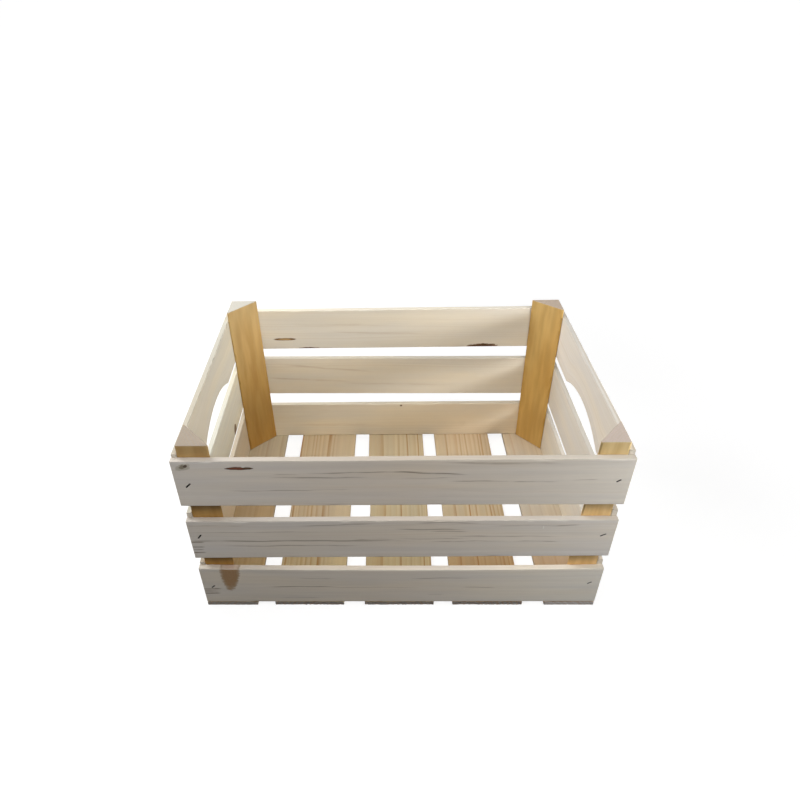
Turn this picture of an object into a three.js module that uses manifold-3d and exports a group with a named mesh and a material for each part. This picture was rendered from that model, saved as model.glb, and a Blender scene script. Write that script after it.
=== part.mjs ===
// An open slatted crate: thin boards stapled to four triangular corner posts.
// Millimetres, +Z up, +X along the length, the front at -Y.
// The origin is the middle of the footprint, at ground level.
import * as THREE from "three";
import { mergeVertices } from "three/addons/utils/BufferGeometryUtils.js";
import Module from "manifold-3d";

const wasm = await Module();
wasm.setup();

// Footprint over the outer faces of the boards
const CRATE_LENGTH = 600;
const CRATE_DEPTH = 400;

// Board stock
const SLAT_THICKNESS = 9;
const END_THICKNESS = 8;
const FLOOR_THICKNESS = 8;
const ARRIS = 0.8;
const SEAM = 0.25;

// Heights of the boards of each side and the open gaps between them, from the bottom up. The middle board at
// the back lies out of level, each of its ends this far off
const FRONT_BOTTOM_HEIGHT = 81;
const FRONT_LOWER_GAP = 24.75;
const FRONT_MIDDLE_HEIGHT = 79;
const FRONT_UPPER_GAP = 31;
const FRONT_TOP_HEIGHT = 83.25;
const BACK_BOTTOM_HEIGHT = 81;
const BACK_LOWER_GAP = 26.5;
const BACK_MIDDLE_HEIGHT = 84;
const BACK_UPPER_GAP = 24;
const BACK_TOP_HEIGHT = 82;
const BACK_MIDDLE_TILT = 3;
const LEFT_BOTTOM_HEIGHT = 85;
const LEFT_LOWER_GAP = 23;
const LEFT_MIDDLE_HEIGHT = 85;
const LEFT_UPPER_GAP = 23;
const LEFT_TOP_HEIGHT = 87.5;
const RIGHT_BOTTOM_HEIGHT = 86;
const RIGHT_LOWER_GAP = 28;
const RIGHT_MIDDLE_HEIGHT = 78.5;
const RIGHT_UPPER_GAP = 25.5;
const RIGHT_TOP_HEIGHT = 84.5;

// Hand scoop: an arc cut up into the lower edge of each top end board, with rounded shoulders, and how far
// its middle lies from the middle of the end, towards the back
const SCOOP_WIDTH = 180;
const SCOOP_RISE = 27;
const SCOOP_SHOULDER = 10;
const LEFT_SCOOP_SHIFT = -2;
const RIGHT_SCOOP_SHIFT = -8;
const SCOOP_STEPS = 10;

// Floor boards: two outer, and inner ones that share the rest of the length, a little wider at the back. The
// inner ones were laid by eye: the table gives how far to the right of its place each end of a board lies
const LEFT_FLOOR_WIDTH = 79.5;
const RIGHT_FLOOR_WIDTH = 77;
const INNER_FLOOR_FRONT_WIDTH = 108;
const INNER_FLOOR_BACK_WIDTH = 111;
const INNER_FLOOR_BOARDS = [
  { name: "mid_left", front: -3, back: 3.25 },
  { name: "middle", front: -1.5, back: 2.75 },
  { name: "mid_right", front: -3.25, back: -1.25 },
];

// Corner posts: legs of the right-angled triangle, the flat on its sharp tips, and how far each post stands
// above the front slats. The front right post was sawn smaller
const POST_LEG = 43;
const FRONT_RIGHT_POST_LEG = 41;
const POST_BLUNT = 1.6;
const FRONT_LEFT_POST_RISE = 18.75;
const FRONT_RIGHT_POST_RISE = 20.5;
const BACK_RIGHT_POST_RISE = 15.5;
const BACK_LEFT_POST_RISE = 20.5;

// Wire staples, driven a little below the face of the board
const STAPLE_CROWN = 10.5;
const STAPLE_LEG = 20;
const STAPLE_WIRE = 1.1;
const STAPLE_BREADTH = 1.4;
const STAPLE_SINK = 0.4;
const STAPLE_CLEARANCE = 0.3;
const STAPLE_MARGIN = 1.75;
const LEFT_STAPLE_SLANT = 48;
const RIGHT_STAPLE_SLANT = 35;

// Staples of the front as they were driven by hand: how far outwards and upwards of their places, and
// their slant
const FRONT_LEFT_STAPLES = {
  bottom: { out: -0.5, lift: -2.75, slant: 45 },
  middle: { out: 0.5, lift: 7.5, slant: 55 },
  top: { out: -2, lift: -2.5, slant: 47 },
};
const FRONT_RIGHT_STAPLES = {
  bottom: { out: -0.5, lift: 5.75, slant: 36 },
  middle: { out: -0.75, lift: 8.5, slant: 31 },
  top: { out: -0.5, lift: 2.5, slant: 37 },
};

// Sizes that follow from those above
const BOARD_BASE = FLOOR_THICKNESS + SEAM;
const INNER_HALF_LENGTH = CRATE_LENGTH / 2 - END_THICKNESS;
const INNER_HALF_DEPTH = CRATE_DEPTH / 2 - SLAT_THICKNESS;
const END_BOARD_LENGTH = 2 * (INNER_HALF_DEPTH - SEAM);
const QUARTER_TURN = Math.PI / 2;
const SAME_POINT = 0.001;

// A slat's staples enter the post beside the end board. An end board's staples pass clear of their tips
const SLAT_STAPLE_PLACE = INNER_HALF_LENGTH - STAPLE_CROWN / 2 - STAPLE_MARGIN;
const SLAT_STAPLE_REACH = STAPLE_LEG + STAPLE_SINK - SLAT_THICKNESS;
const END_STAPLE_PLACE = INNER_HALF_DEPTH - SLAT_STAPLE_REACH - STAPLE_CROWN / 2 - STAPLE_MARGIN;

const slatWood = { color: 0xd8c7a8, roughness: 0.82, metalness: 0 };
const floorWood = { color: 0xc9ab7c, roughness: 0.85, metalness: 0 };
const postWood = { color: 0xc29a5e, roughness: 0.78, metalness: 0 };
const stapleSteel = { color: 0x6f6a64, roughness: 0.45, metalness: 0.9 };

const crate = new THREE.Group();
const pieces = new Map();

function addPiece(parent, name, geometry, finish) {
  const mesh = new THREE.Mesh(geometry, new THREE.MeshStandardMaterial(finish));
  mesh.name = name;
  parent.add(mesh);
  pieces.set(name, mesh);
  return mesh;
}

// An outline sawn from stock of one thickness, from local z = 0 upwards, with every arris eased
function sawn(outline, thickness) {
  const geometry = new THREE.ExtrudeGeometry(outline, {
    depth: thickness - 2 * ARRIS,
    bevelEnabled: true,
    bevelSegments: 1,
    bevelThickness: ARRIS,
    bevelSize: ARRIS,
    bevelOffset: -ARRIS,
  });
  return geometry.translate(0, 0, ARRIS);
}

function polygon(points) {
  return new THREE.Shape(points.map(([x, y]) => new THREE.Vector2(x, y)));
}

// A plain board, its local -X end lowered and its +X end raised by the tilt
function boardOutline(length, height, tilt) {
  const half = length / 2;
  return polygon([[-half, -tilt], [half, tilt], [half, height + tilt], [-half, height - tilt]]);
}

// An outline through points, each kept once where two arcs meet
function withoutDoubles(points) {
  const apart = (point, index) => point.distanceTo(points.at(index - 1)) > SAME_POINT;
  return new THREE.Shape(points.filter(apart));
}

// A board outline whose lower edge rises in one arc of a circle. A rounded shoulder at each end of the scoop
// touches both the straight edge and the arc
function scoopedOutline(length, height, middle) {
  const half = length / 2;
  const span = SCOOP_WIDTH / 2;
  const reach = (span ** 2 + SCOOP_RISE ** 2) / (2 * SCOOP_RISE);
  const radius = reach - SCOOP_SHOULDER;
  const lift = Math.atan2(reach - SCOOP_RISE, span);
  const outline = new THREE.Shape();
  outline.moveTo(-half, 0);
  outline.lineTo(middle - span, 0);
  outline.absarc(middle - span, SCOOP_SHOULDER, SCOOP_SHOULDER, -QUARTER_TURN, -lift, false);
  outline.absarc(middle, SCOOP_RISE - radius, radius, Math.PI - lift, lift, true);
  outline.absarc(middle + span, SCOOP_SHOULDER, SCOOP_SHOULDER, Math.PI + lift, 3 * QUARTER_TURN, false);
  outline.lineTo(half, 0);
  outline.lineTo(half, height);
  outline.lineTo(-half, height);
  outline.closePath();
  return withoutDoubles(outline.getPoints(SCOOP_STEPS));
}

// Staple seen flat: crown on top, two chisel-pointed legs hanging below. The grow value makes it larger
// all round, and headroom carries its crown upwards, so that the same shape cuts its slot
function stapleGeometry(grow, headroom) {
  const outer = STAPLE_CROWN / 2 + grow;
  const inner = STAPLE_CROWN / 2 - STAPLE_WIRE - grow;
  const under = -STAPLE_WIRE - grow;
  const tip = -STAPLE_LEG - grow;
  const point = tip + STAPLE_WIRE;
  const outline = polygon([
    [-outer, headroom],
    [-outer, tip],
    [-inner, point],
    [-inner, under],
    [inner, under],
    [inner, point],
    [outer, tip],
    [outer, headroom],
  ]);
  const breadth = STAPLE_BREADTH + 2 * grow;
  const geometry = new THREE.ExtrudeGeometry(outline, { depth: breadth, bevelEnabled: false });
  return geometry.translate(0, 0, -breadth / 2).rotateX(QUARTER_TURN);
}

const staple = stapleGeometry(0, 0);
const stapleSlot = stapleGeometry(STAPLE_CLEARANCE, STAPLE_SINK + STAPLE_CLEARANCE);

// A geometry, carried by a matrix, as a solid for cutting
function solidOf(geometry, matrix) {
  const corners = new THREE.BufferGeometry();
  corners.setAttribute("position", geometry.getAttribute("position").clone());
  corners.setIndex(geometry.index);
  const merged = mergeVertices(corners.applyMatrix4(matrix));
  return new wasm.Manifold(
    new wasm.Mesh({
      numProp: 3,
      vertProperties: merged.getAttribute("position").array,
      triVerts: new Uint32Array(merged.index.array),
    }),
  );
}

function geometryOf(solid) {
  const { vertProperties, triVerts } = solid.getMesh();
  const indexed = new THREE.BufferGeometry();
  indexed.setAttribute("position", new THREE.BufferAttribute(vertProperties, 3));
  indexed.setIndex(new THREE.BufferAttribute(triVerts, 1));
  const flat = indexed.toNonIndexed();
  flat.computeVertexNormals();
  return flat;
}

// Cuts the slot of a staple into each piece that the staple is driven through
function driveStaple(stapleMesh, pieceNames) {
  stapleMesh.updateWorldMatrix(true, false);
  for (const name of pieceNames) {
    const piece = pieces.get(name);
    piece.updateWorldMatrix(true, false);
    const intoPiece = piece.matrixWorld.clone().invert().multiply(stapleMesh.matrixWorld);
    const whole = solidOf(piece.geometry, new THREE.Matrix4());
    piece.geometry = geometryOf(whole.subtract(solidOf(stapleSlot, intoPiece)));
  }
}

// Heights and feet of three boards stacked with open gaps between them, from the bottom up
function stackedRows(bottom, lowerGap, middle, upperGap, top, middleTilt = 0) {
  const middleFoot = BOARD_BASE + bottom + lowerGap;
  return [
    { row: "bottom", height: bottom, foot: BOARD_BASE, tilt: 0 },
    { row: "middle", height: middle, foot: middleFoot, tilt: middleTilt },
    { row: "top", height: top, foot: middleFoot + middle + upperGap, tilt: 0 },
  ];
}

const frontRows = stackedRows(
  FRONT_BOTTOM_HEIGHT,
  FRONT_LOWER_GAP,
  FRONT_MIDDLE_HEIGHT,
  FRONT_UPPER_GAP,
  FRONT_TOP_HEIGHT,
);
const backRows = stackedRows(
  BACK_BOTTOM_HEIGHT,
  BACK_LOWER_GAP,
  BACK_MIDDLE_HEIGHT,
  BACK_UPPER_GAP,
  BACK_TOP_HEIGHT,
  BACK_MIDDLE_TILT,
);
const leftRows = stackedRows(
  LEFT_BOTTOM_HEIGHT,
  LEFT_LOWER_GAP,
  LEFT_MIDDLE_HEIGHT,
  LEFT_UPPER_GAP,
  LEFT_TOP_HEIGHT,
);
const rightRows = stackedRows(
  RIGHT_BOTTOM_HEIGHT,
  RIGHT_LOWER_GAP,
  RIGHT_MIDDLE_HEIGHT,
  RIGHT_UPPER_GAP,
  RIGHT_TOP_HEIGHT,
);
const frontTop = frontRows.at(-1);

// Corner posts, each turned so that its right angle sits in its corner
const corners = [
  { name: "front_left", x: -1, y: -1, turn: 0, leg: POST_LEG, rise: FRONT_LEFT_POST_RISE },
  { name: "front_right", x: 1, y: -1, turn: 1, leg: FRONT_RIGHT_POST_LEG, rise: FRONT_RIGHT_POST_RISE },
  { name: "back_right", x: 1, y: 1, turn: 2, leg: POST_LEG, rise: BACK_RIGHT_POST_RISE },
  { name: "back_left", x: -1, y: 1, turn: 3, leg: POST_LEG, rise: BACK_LEFT_POST_RISE },
];

function postOutline(leg) {
  return polygon([[0, 0], [leg, 0], [leg, POST_BLUNT], [POST_BLUNT, leg], [0, leg]]);
}

for (const { name, x, y, turn, leg, rise } of corners) {
  const height = frontTop.foot + frontTop.height + rise - BOARD_BASE;
  const post = addPiece(crate, `${name}_post`, sawn(postOutline(leg), height), postWood);
  post.position.set(x * (INNER_HALF_LENGTH - SEAM), y * (INNER_HALF_DEPTH - SEAM), BOARD_BASE);
  post.rotation.z = turn * QUARTER_TURN;
}

// One side of the crate: its group is turned so that local -Y points outwards and local X runs along the
// boards. The ends of each board carry a staple, into the posts that close the side at local -X and +X
function addSide({ side, turn, reach, thickness, length, rows, kind, scoop, staplePlace, ends }) {
  const group = new THREE.Group();
  group.rotation.z = turn * QUARTER_TURN;
  crate.add(group);
  for (const { row, height, foot, tilt } of rows) {
    const scooped = row === "top" && scoop !== undefined;
    const outline = scooped ? scoopedOutline(length, height, scoop) : boardOutline(length, height, tilt);
    const name = `${side}_${row}_${kind}`;
    const board = addPiece(group, name, sawn(outline, thickness), slatWood);
    board.position.set(0, thickness - reach, foot);
    board.rotation.x = QUARTER_TURN;
    for (const { end, post, sign, slant, byHand } of ends) {
      const driven = { out: 0, lift: 0, slant, ...byHand?.[row] };
      const pin = addPiece(group, `${side}_${row}_staple_${end}`, staple, stapleSteel);
      const along = sign * (staplePlace + driven.out);
      pin.position.set(along, STAPLE_SINK - reach, foot + height / 2 + driven.lift);
      pin.rotation.set(QUARTER_TURN, 0, THREE.MathUtils.degToRad(driven.slant));
      driveStaple(pin, [name, post]);
    }
  }
}

const longSide = {
  kind: "slat",
  reach: CRATE_DEPTH / 2,
  thickness: SLAT_THICKNESS,
  length: CRATE_LENGTH,
  staplePlace: SLAT_STAPLE_PLACE,
};
const shortSide = {
  kind: "end_board",
  reach: CRATE_LENGTH / 2,
  thickness: END_THICKNESS,
  length: END_BOARD_LENGTH,
  staplePlace: END_STAPLE_PLACE,
};
const atLeft = { sign: -1, slant: LEFT_STAPLE_SLANT };
const atRight = { sign: 1, slant: RIGHT_STAPLE_SLANT };

addSide({
  ...longSide,
  side: "front",
  turn: 0,
  rows: frontRows,
  ends: [
    { ...atLeft, end: "left", post: "front_left_post", byHand: FRONT_LEFT_STAPLES },
    { ...atRight, end: "right", post: "front_right_post", byHand: FRONT_RIGHT_STAPLES },
  ],
});
addSide({
  ...shortSide,
  side: "right",
  turn: 1,
  rows: rightRows,
  scoop: RIGHT_SCOOP_SHIFT,
  ends: [
    { ...atLeft, end: "front", post: "front_right_post" },
    { ...atRight, end: "back", post: "back_right_post" },
  ],
});
addSide({
  ...longSide,
  side: "back",
  turn: 2,
  rows: backRows,
  ends: [
    { ...atLeft, end: "right", post: "back_right_post" },
    { ...atRight, end: "left", post: "back_left_post" },
  ],
});
addSide({
  ...shortSide,
  side: "left",
  turn: 3,
  rows: leftRows,
  scoop: -LEFT_SCOOP_SHIFT,
  ends: [
    { ...atLeft, end: "back", post: "back_left_post" },
    { ...atRight, end: "front", post: "front_left_post" },
  ],
});

// Floor boards run from front to back, with a staple up into the bottom slat at each end
function addFloorBoard(name, front, back) {
  const reach = CRATE_DEPTH / 2;
  const outline = polygon([
    [front.middle - front.width / 2, -reach],
    [front.middle + front.width / 2, -reach],
    [back.middle + back.width / 2, reach],
    [back.middle - back.width / 2, reach],
  ]);
  const boardName = `floor_board_${name}`;
  addPiece(crate, boardName, sawn(outline, FLOOR_THICKNESS), floorWood);
  const inset = SLAT_THICKNESS / 2;
  const lean = ((back.middle - front.middle) * inset) / CRATE_DEPTH;
  const places = [
    { end: "front", x: front.middle + lean, y: inset - reach },
    { end: "back", x: back.middle - lean, y: reach - inset },
  ];
  for (const { end, x, y } of places) {
    const pin = addPiece(crate, `floor_${name}_staple_${end}`, staple, stapleSteel);
    pin.position.set(x, y, STAPLE_SINK);
    pin.rotation.x = Math.PI;
    driveStaple(pin, [boardName, `${end}_bottom_slat`]);
  }
}

const leftFloor = { middle: (LEFT_FLOOR_WIDTH - CRATE_LENGTH) / 2, width: LEFT_FLOOR_WIDTH };
const rightFloor = { middle: (CRATE_LENGTH - RIGHT_FLOOR_WIDTH) / 2, width: RIGHT_FLOOR_WIDTH };
addFloorBoard("left", leftFloor, leftFloor);
addFloorBoard("right", rightFloor, rightFloor);

const innerCount = INNER_FLOOR_BOARDS.length;
const innerWidth = (INNER_FLOOR_FRONT_WIDTH + INNER_FLOOR_BACK_WIDTH) / 2;
const floorOpening = CRATE_LENGTH - LEFT_FLOOR_WIDTH - RIGHT_FLOOR_WIDTH;
const floorGap = (floorOpening - innerCount * innerWidth) / (innerCount + 1);
const firstPlace = LEFT_FLOOR_WIDTH - CRATE_LENGTH / 2 + floorGap + innerWidth / 2;
INNER_FLOOR_BOARDS.forEach(({ name, front, back }, index) => {
  const place = firstPlace + index * (innerWidth + floorGap);
  addFloorBoard(
    name,
    { middle: place + front, width: INNER_FLOOR_FRONT_WIDTH },
    { middle: place + back, width: INNER_FLOOR_BACK_WIDTH },
  );
});

export default crate;
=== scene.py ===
"""Looks of an open slatted crate: sawn softwood boards, corner posts and wire staples."""

import math

import bpy
import numpy as np
from mathutils import Matrix, Vector


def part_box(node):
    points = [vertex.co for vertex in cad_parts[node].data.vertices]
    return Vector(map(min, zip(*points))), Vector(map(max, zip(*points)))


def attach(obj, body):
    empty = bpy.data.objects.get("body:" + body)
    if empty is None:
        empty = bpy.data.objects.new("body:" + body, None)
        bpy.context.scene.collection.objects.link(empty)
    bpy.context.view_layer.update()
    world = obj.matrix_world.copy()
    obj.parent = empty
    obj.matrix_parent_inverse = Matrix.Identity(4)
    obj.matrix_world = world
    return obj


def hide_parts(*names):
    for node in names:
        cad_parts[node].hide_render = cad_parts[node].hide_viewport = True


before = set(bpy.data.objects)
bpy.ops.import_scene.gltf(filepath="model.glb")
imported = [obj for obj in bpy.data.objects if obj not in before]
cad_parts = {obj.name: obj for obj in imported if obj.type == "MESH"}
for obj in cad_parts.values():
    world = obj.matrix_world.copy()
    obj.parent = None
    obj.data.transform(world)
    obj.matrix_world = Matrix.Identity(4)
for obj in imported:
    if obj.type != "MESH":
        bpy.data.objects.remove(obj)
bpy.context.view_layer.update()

# Sizes in metres that a node's box does not give
SCOOP_WIDTH = 0.180
SCOOP_RISE = {"left": 0.0255, "right": 0.0245}
SCOOP_SHOULDER = 0.010
SCOOP_SHIFT = {"left": -0.002, "right": -0.008}
POST_BLUNT = 0.0016
STAPLE_CROWN = 0.0105
STAPLE_BREADTH = 0.0014

# Rounded arrises, and how far apart the points of a piece lie
ARRIS = 0.0008
END_ARRIS = 0.0003
POST_ARRIS = 0.0005
ARRIS_STEPS = 4
ARRIS_SPARE = 1.2
EDGE_STEPS = 3
BOARD_STEP = 0.003
POST_STEP = 0.0025
POST_END_RINGS = 12
STAPLE_STEP = 0.00035
CLOSEST = 0.00012
HAIR = 1e-6

# Grooves that the staples are pressed into
GROOVE_DEPTH = 0.0016
GROOVE_WALL = 0.0005
GROOVE_SPARE = 0.0002
GROOVE_MARGIN = 0.0012

# Painted shade on a post: how far below a slat it reaches, and the height over which it comes in
UNDER_SLAT_SHADE_REACH = 0.025
UNDER_SLAT_SHADE_EASE = 0.015

# Unevenness of sawn wood: its height or share, then its step along, and its step across where it
# covers a face. Chips break out where their field is above a level, and fibres are ragged by the ends
SLOW_EDGE = (0.0006, 0.11)
FINE_EDGE = (0.0001, 0.02)
SLOW_FACE = (0.00022, 0.09, 0.03)
FINE_FACE = (0.00008, 0.02, 0.004)
CHIPS = (0.0011, 0.016, 0.004)
CHIP_FROM = 0.66
CHIP_SKEW = 7.0
FINE_FIBRE = (1.0, 0.0017, 0.0011)
BROAD_FIBRE = (0.6, 0.006, 0.0024)
RAGGED = 1.2
RAGGED_STEP = 0.0021
RAGGED_REACH = 0.0022
END_BAND = 1.2
SLOW_POST = (0.0003, 0.08, 0.02)
FINE_POST = (0.0001, 0.01, 0.004)
POST_CHIPS = (0.002, 0.012, 0.004)
POST_CHIP_FROM = 0.6
POST_END = (0.0003, 0.003, 0.003)

# Roughness of sawn ends in metres
WALL_ROUGH = 0.0002
INNER_FLOOR_ROUGH = 0.0012
OUTER_FLOOR_ROUGH = 0.0004

# Logs: how far along one a piece may start, and how far a post's corner lies from the pith
LOG_REACH = 40.0
POST_PITH = (-0.06, -0.02)

# Camera of the photograph: place in metres, angles, lens in millimetres, shift as share of the width
CAMERA_PLACE = (-0.02276, -0.7836, 0.86183)
CAMERA_PITCH = math.radians(34.39)
CAMERA_YAW = math.radians(-1.74)
CAMERA_ROLL = math.radians(1.56)
CAMERA_LENS = 27.9
CAMERA_SENSOR = 36.0
CAMERA_SHIFT = (0.0416, -0.0489)


# Smooth random runs


def smooth(share):
    """Ease a share from 0 to 1: three squares less two cubes."""
    share = np.clip(share, 0.0, 1.0)
    return share * share * (3.0 - 2.0 * share)


def wander(at, step, rng):
    """A smooth run between 0 and 1: random heights one step apart, eased into each other."""
    place = (at - at.min()) / step
    low = place.astype(int)
    heights = rng.uniform(size=low.max() + 2)
    share = smooth(place - low)
    return heights[low] * (1.0 - share) + heights[low + 1] * share


def ripple(u, v, step_u, step_v, rng):
    """A smooth field between 0 and 1 over two coordinates: a random lattice, eased along both."""
    place_u = (u - u.min()) / step_u
    place_v = (v - v.min()) / step_v
    low_u = place_u.astype(int)
    low_v = place_v.astype(int)
    heights = rng.uniform(size=(low_u.max() + 2, low_v.max() + 2))
    share_u = smooth(place_u - low_u)
    share_v = smooth(place_v - low_v)
    near = heights[low_u, low_v] * (1.0 - share_v) + heights[low_u, low_v + 1] * share_v
    far = heights[low_u + 1, low_v] * (1.0 - share_v) + heights[low_u + 1, low_v + 1] * share_v
    return near * (1.0 - share_u) + far * share_u


def waves(at, kind, rng):
    """An uneven run: a height times a smooth run."""
    height, step = kind
    return height * wander(at, step, rng)


def swell(u, v, kind, rng):
    """An uneven field: a height times a smooth field."""
    height, step_u, step_v = kind
    return height * ripple(u, v, step_u, step_v, rng)


def broken_out(u, v, kind, chip_from, rng):
    """Chips: a depth times what a smooth field has above a level, and nothing elsewhere."""
    depth, step_u, step_v = kind
    return depth * np.maximum(ripple(u, v, step_u, step_v, rng) - chip_from, 0.0)


# Meshes from arrays


def grid_quads(index):
    """The quads between the neighbours of a table of point numbers."""
    near = index[:-1]
    far = index[1:]
    return np.stack([near[:, :-1], far[:, :-1], far[:, 1:], near[:, 1:]], axis=-1).reshape(-1, 4)


def outward(points, quads, tris):
    """Turn all faces round if the volume inside them, summed over corner triples, is negative."""
    flat = np.concatenate([quads[:, [0, 1, 2]], quads[:, [0, 2, 3]], tris])
    a, b, c = points[flat[:, 0]], points[flat[:, 1]], points[flat[:, 2]]
    if np.einsum("ij,ij->i", a, np.cross(b, c)).sum() < 0:
        return quads[:, ::-1], tris[:, ::-1]
    return quads, tris


def tone_and_shade_along(at, tints):
    """Tints at places along a length: straight runs between tints in percent at even steps. They hold
    each piece's own tone with painted light and shade.
    """
    steps = np.linspace(0.0, at.max(), len(tints))
    tints = np.array(tints) / 100
    return np.stack([np.interp(at, steps, channel) for channel in tints.T], axis=1)


def make_piece(node, points, quads, tris, plain, pith, tints, values):
    """A mesh object at the origin that stands for a node, from arrays of points and faces. Its
    points carry their place in the plain piece and from the pith, their tint, which holds tone with
    painted light and shade, and named values."""
    quads, tris = outward(points, np.concatenate(quads), np.concatenate(tris))
    tint = tone_and_shade_along(plain[:, 0], tints)
    vectors = {"log_place": plain - pith, "board_place": plain, "tint": tint}
    corners = np.concatenate([quads.ravel(), tris.ravel()])
    starts = np.concatenate([np.arange(len(quads)) * 4, quads.size + np.arange(len(tris)) * 3])
    mesh = bpy.data.meshes.new(node + "_sawn")
    mesh.vertices.add(len(points))
    mesh.vertices.foreach_set("co", points.astype(np.float32).ravel())
    mesh.loops.add(len(corners))
    mesh.loops.foreach_set("vertex_index", corners.astype(np.int32))
    mesh.polygons.add(len(starts))
    mesh.polygons.foreach_set("loop_start", starts.astype(np.int32))
    mesh.polygons.foreach_set("use_smooth", np.ones(len(starts), bool))
    mesh.update(calc_edges=True)
    for key, data in vectors.items():
        layer = mesh.attributes.new(key, "FLOAT_VECTOR", "POINT")
        layer.data.foreach_set("vector", data.astype(np.float32).ravel())
    for key, data in values.items():
        layer = mesh.attributes.new(key, "FLOAT", "POINT")
        layer.data.foreach_set("value", np.concatenate(data).astype(np.float32))
    piece = bpy.data.objects.new(node + "_sawn", mesh)
    bpy.context.scene.collection.objects.link(piece)
    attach(piece, "root")
    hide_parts(node)
    return piece


# Boards

LEVEL = (0.0, 0.0)


def node_frame(node, run, up):
    """Axes along, across and out of a board, its node's lowest corner on them, and its size."""
    axes = np.array([run, up, np.cross(run, up)], float)
    low, high = (axes @ np.array(corner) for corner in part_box(node))
    return axes, np.minimum(low, high), np.abs(high - low)


def staple_marks(names, shown, axes, first):
    """Where staple crowns lie on a board: places along and across it, the crown's slant, and how
    long it shows. A crown of half length c and half breadth b at a slant fills a box of
    c cos + b sin by c sin + b cos, which is solved for the slant."""
    c = STAPLE_CROWN / 2
    b = STAPLE_BREADTH / 2
    marks = []
    for name, share in zip(names, shown):
        low, high = (axes @ np.array(corner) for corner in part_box(name))
        middle = (low + high) / 2 - first
        half_u, half_v = np.abs(high - low)[:2] / 2
        slant = math.atan2(c * half_v - b * half_u, c * half_u - b * half_v)
        marks.append((middle[0], middle[1], slant, STAPLE_CROWN * share))
    return marks


def staple_groove(u, v, marks):
    """Share of the groove pressed in by staple crowns: full along each crown's line, easing out
    over its wall."""
    share = np.zeros_like(u)
    rim = STAPLE_BREADTH / 2 + GROOVE_WALL + GROOVE_SPARE
    for place_u, place_v, slant, shown in marks:
        half = (shown - STAPLE_BREADTH) / 2
        along = (u - place_u) * math.cos(slant) + (v - place_v) * math.sin(slant)
        aside = (v - place_v) * math.cos(slant) - (u - place_u) * math.sin(slant)
        away = np.hypot(np.maximum(np.abs(along) - half, 0.0), aside)
        share = np.maximum(share, smooth((rim - away) / GROOVE_WALL))
    return share


def scoop_edge(along, middle, rise):
    """Height of a scooped lower edge: flat, then a small circle up round the shoulder, then one
    large arc."""
    span = SCOOP_WIDTH / 2
    reach = (span**2 + rise**2) / (2 * rise)
    radius = reach - SCOOP_SHOULDER
    lift = math.atan2(reach - rise, span)
    away = np.abs(along - middle)
    arc = rise - radius + np.sqrt(np.maximum(radius**2 - away**2, 0.0))
    inside = np.clip(span - away, 0.0, SCOOP_SHOULDER)
    shoulder = SCOOP_SHOULDER - np.sqrt(SCOOP_SHOULDER**2 - inside**2)
    return np.where(away < span - SCOOP_SHOULDER * math.cos(lift), arc, shoulder)


def spaced(length, step, dense):
    """Places from 0 to a length: close together by both ends and round each dense place, and a
    step apart between."""
    ends = ARRIS * (1.0 - np.cos(np.linspace(0.0, math.pi / 2, ARRIS_STEPS + 1)))
    runs = [ends, length - ends, np.linspace(ARRIS, length - ARRIS, int(length / step) + 1)]
    for place, half in dense:
        runs.append(np.linspace(place - half, place + half, int(2 * half / STAPLE_STEP) + 1))
    places = np.unique(np.round(np.concatenate(runs), 6))
    places = places[(places > CLOSEST) & (places < length - CLOSEST)]
    keep = np.append(np.diff(places) > CLOSEST, True)
    return np.concatenate([[0.0], places[keep], [length]])


def board_ring(across, width, thick):
    """One turn round a board's section: up the outer face, over the upper edge with its two rounded
    arrises, down the inner face and back under the lower edge. Gives places across and through,
    and shares of arris and edge."""
    turn = np.linspace(0.0, math.pi / 2, ARRIS_STEPS + 1)
    onto = turn[1:]
    off = turn[:-1]
    flat = np.linspace(thick - ARRIS, ARRIS, EDGE_STEPS + 2)[1:-1]
    rise = np.concatenate([ARRIS * np.sin(onto), np.full(EDGE_STEPS, ARRIS), ARRIS * np.cos(off)])
    depth = np.concatenate([thick - ARRIS + ARRIS * np.cos(onto), flat, ARRIS - ARRIS * np.sin(off)])
    wear_and_highlight = np.concatenate([np.sin(2 * onto), np.zeros(EDGE_STEPS), np.sin(2 * off)])
    face = np.zeros(len(across))
    edge = np.ones(len(rise))
    ring_v = np.concatenate([across, width - ARRIS + rise, across[::-1], (ARRIS - rise)[::-1]])
    ring_w = np.concatenate([face + thick, depth, face, depth[::-1]])
    ring_worn = np.concatenate([face, wear_and_highlight, face, wear_and_highlight[::-1]])
    ring_edge = np.concatenate([face, edge, face, edge])
    return ring_v, ring_w, ring_worn, ring_edge


def end_easing(places, length, radius):
    """How near each place is to an end, and how far the section draws in there: a quarter circle."""
    near = np.minimum(places, length - places)
    return near, radius - np.sqrt(np.maximum(radius**2 - np.maximum(radius - near, 0.0) ** 2, 0.0))


def between(share, ends):
    """A value that runs straight from one end's value to the other's."""
    return ends[0] + (ends[1] - ends[0]) * share


def shell_values(shape, wear_and_highlight, edge, near, painted_shade):
    """Values on the shell of a piece: worn arrises, which also carry a painted highlight, ripped
    edges, which also carry painted shade, end grain close to the ends, and painted shade in the staple
    grooves and under the slats."""
    ends = smooth(END_BAND - near / ARRIS)
    fields = {"wear_and_highlight": wear_and_highlight, "edge": edge, "end_grain": ends, "painted_shade": painted_shade}
    return {key: [np.broadcast_to(field, shape).ravel()] for key, field in fields.items()}


def close_values(values, count):
    """Values on the inner points of a sawn end: all end grain and nothing else."""
    for key, data in values.items():
        data.append(np.full(count, 1.0 if key == "end_grain" else 0.0))


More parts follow.
